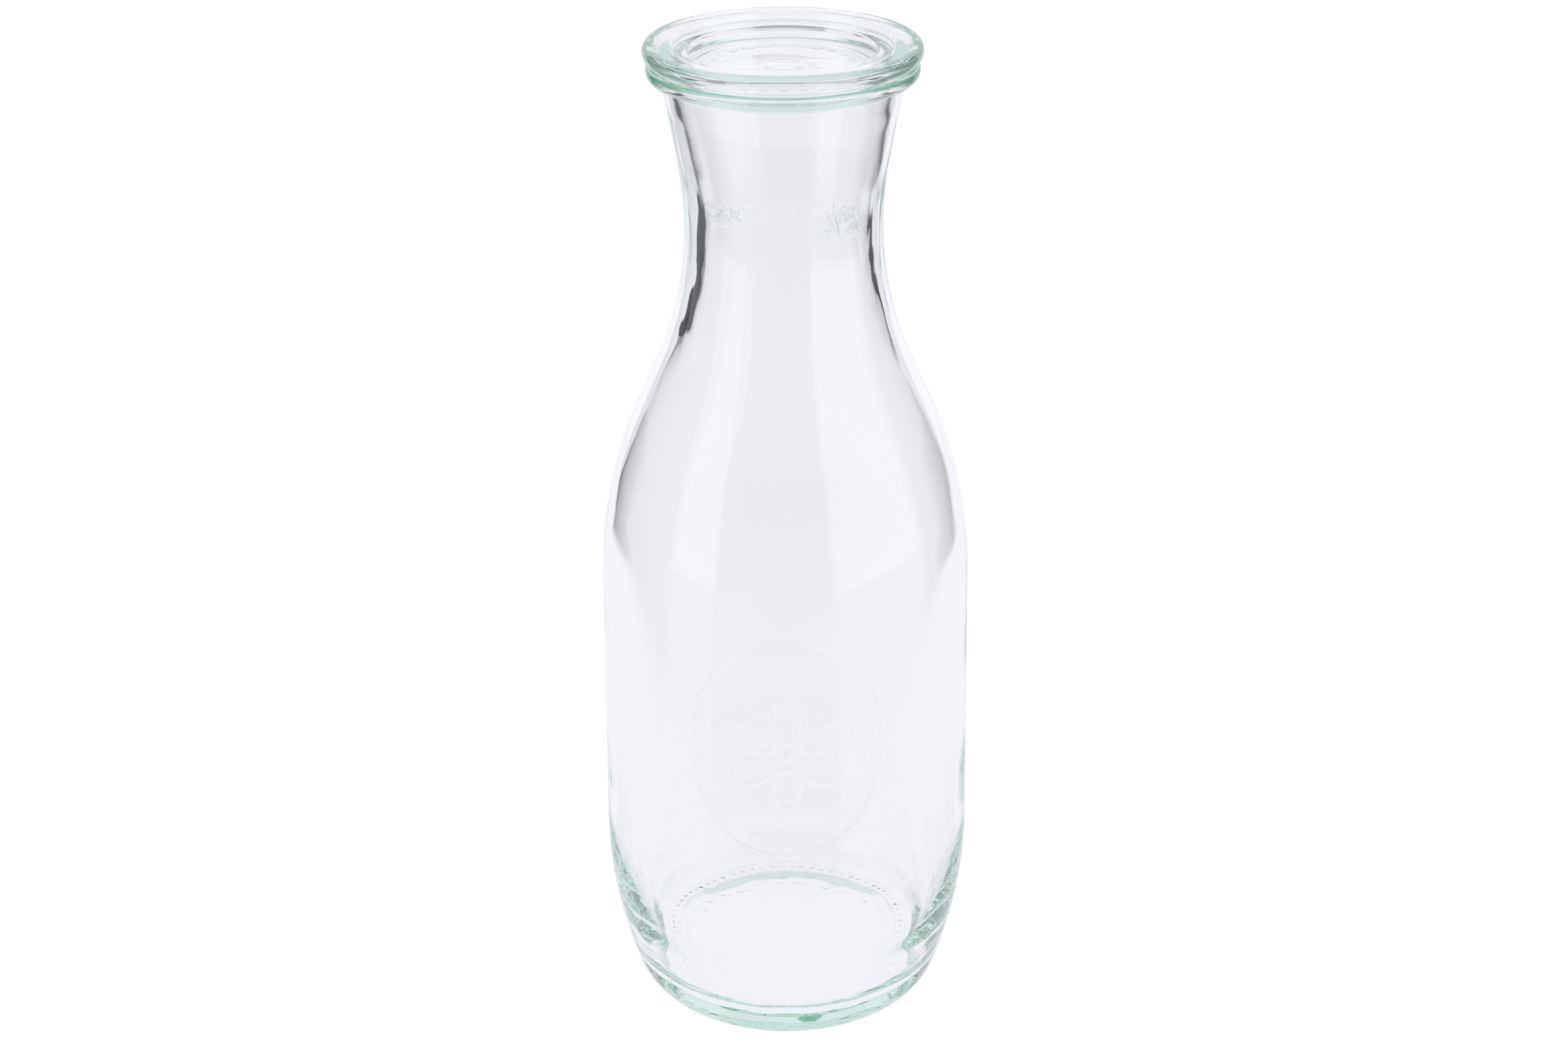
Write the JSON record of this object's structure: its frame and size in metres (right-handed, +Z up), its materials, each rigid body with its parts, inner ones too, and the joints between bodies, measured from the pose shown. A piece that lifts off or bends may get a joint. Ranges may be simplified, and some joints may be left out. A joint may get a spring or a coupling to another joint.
{
  "type": "glass milk bottle",
  "caption": "Clear glass bottle with a wide body, sloping shoulder, flared neck and rolled rim, closed by a loose dished glass lid.",
  "frame": {"origin": "centre of the ring that the bottle stands on", "axes": "+Z up along the bottle's axis, towards the lid; -Y is the face with the raised medallion"},
  "size_m": [0.0958, 0.0958, 0.2545],
  "materials": {
    "bottle_glass": "clear, fire-polished, faint green cast",
    "lid_glass": "clear, pressed, faint green cast"
  },
  "bodies": {
    "bottle": {"bottle": "bottle_glass"},
    "lid": {"lid": "lid_glass"}
  },
  "joints": [
    {"name": "lid_lift", "type": "slide", "parent": "bottle", "child": "lid", "axis": [0, 0, 1], "range_m": [0, 0.1]}
  ]
}
